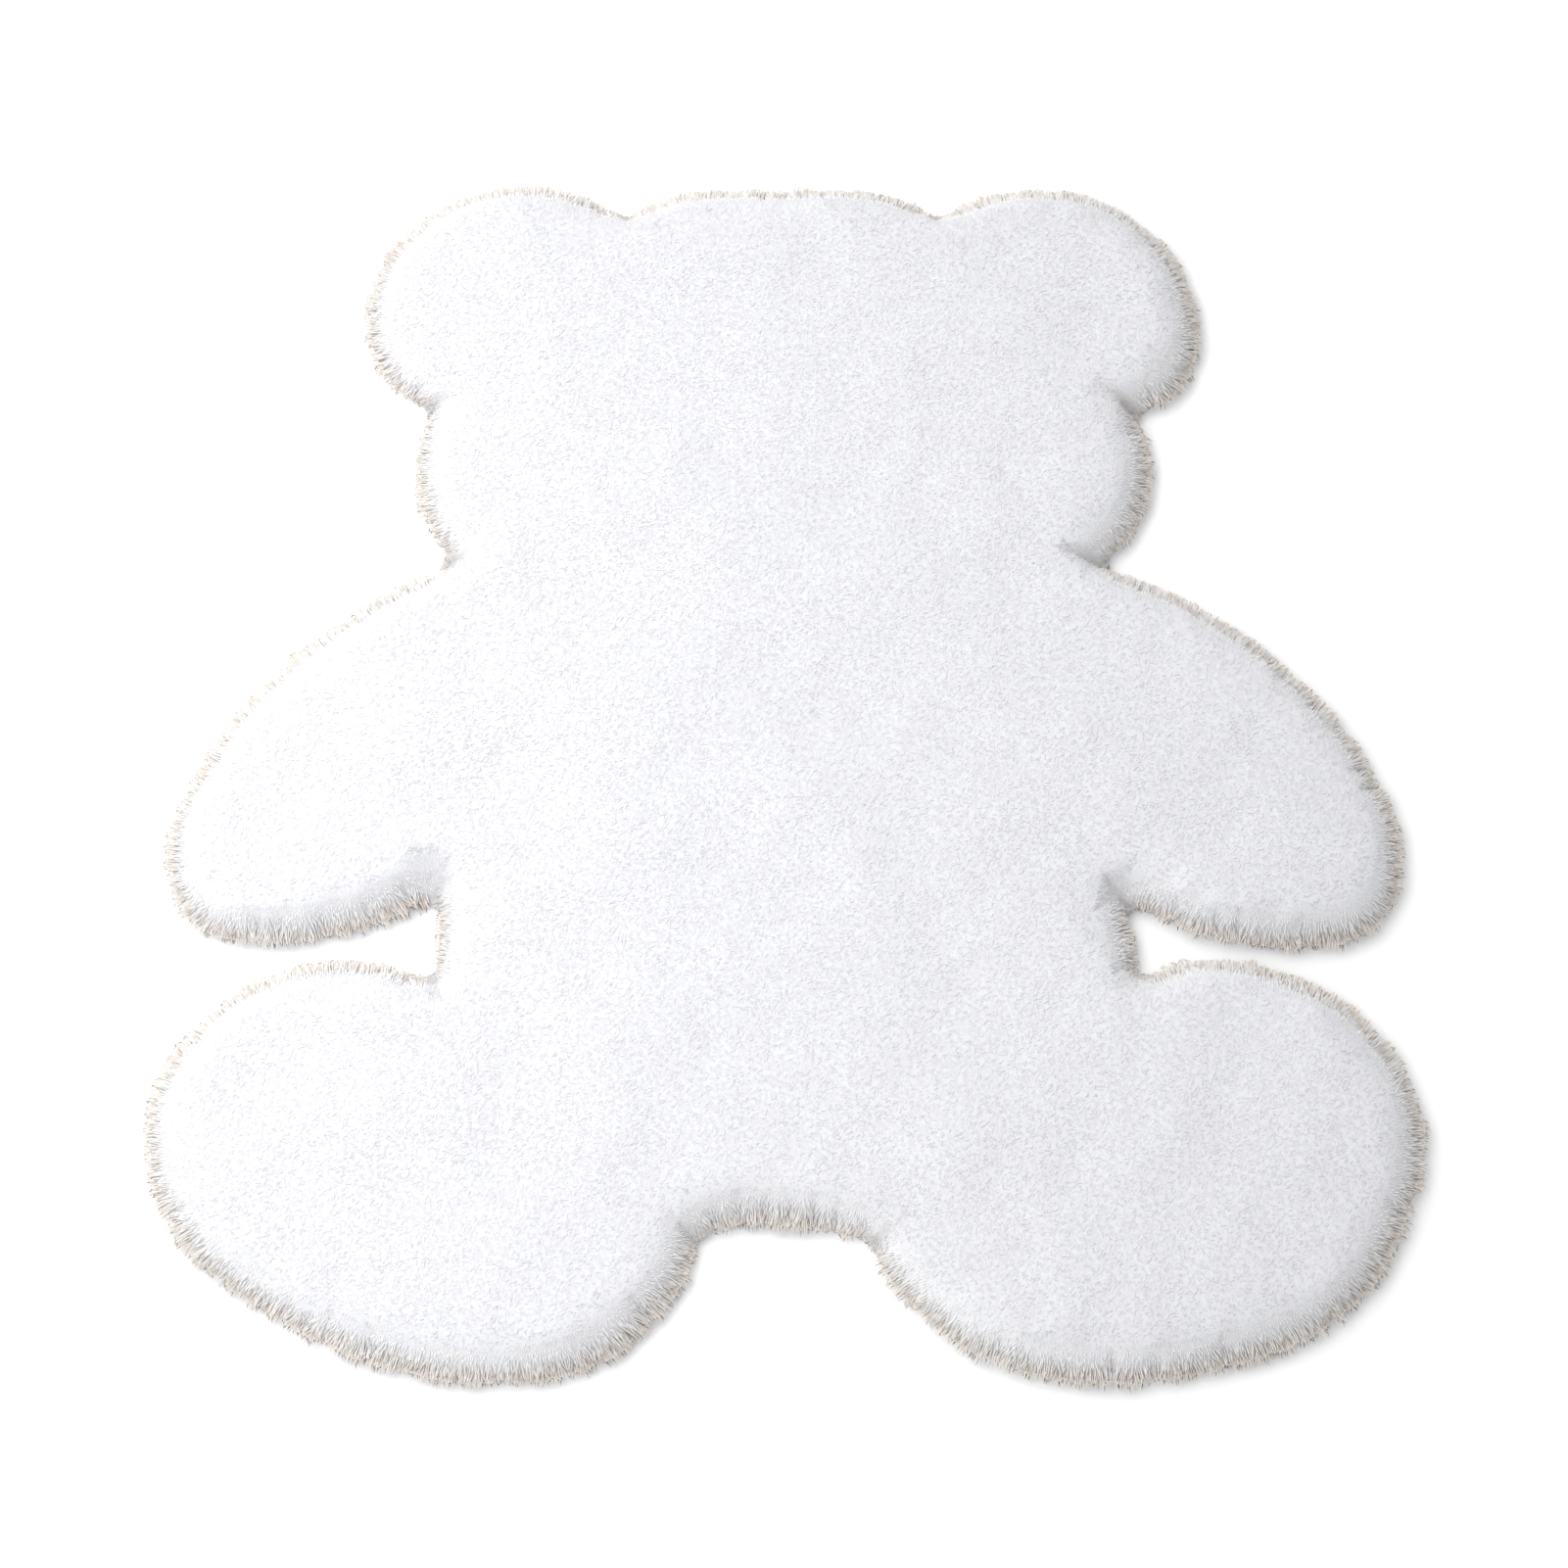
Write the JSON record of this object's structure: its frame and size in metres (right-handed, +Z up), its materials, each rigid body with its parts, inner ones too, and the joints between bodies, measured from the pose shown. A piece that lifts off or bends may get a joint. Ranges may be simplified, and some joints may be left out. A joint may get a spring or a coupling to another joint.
{
  "type": "bear shaped rug",
  "caption": "Flat deep-pile rug cut in the outline of a bear seen from above, with round ears, arms and broad feet, and tapered locks of pile all round its rim.",
  "frame": {"origin": "on the floor, under the middle of the rug's bounding box", "axes": "+Y towards the top of the head, +X towards the arm on the viewer's right when the head is at the top, +Z up out of the pile"},
  "size_m": [0.961, 1.0426, 0.0331],
  "materials": {
    "white_plush": "white plush pile with a faintly cool tint, matt with a soft sheen, fine hairs that lean outwards at the rim"
  },
  "bodies": {
    "root": {"bear_rug": "white_plush"}
  },
  "joints": []
}
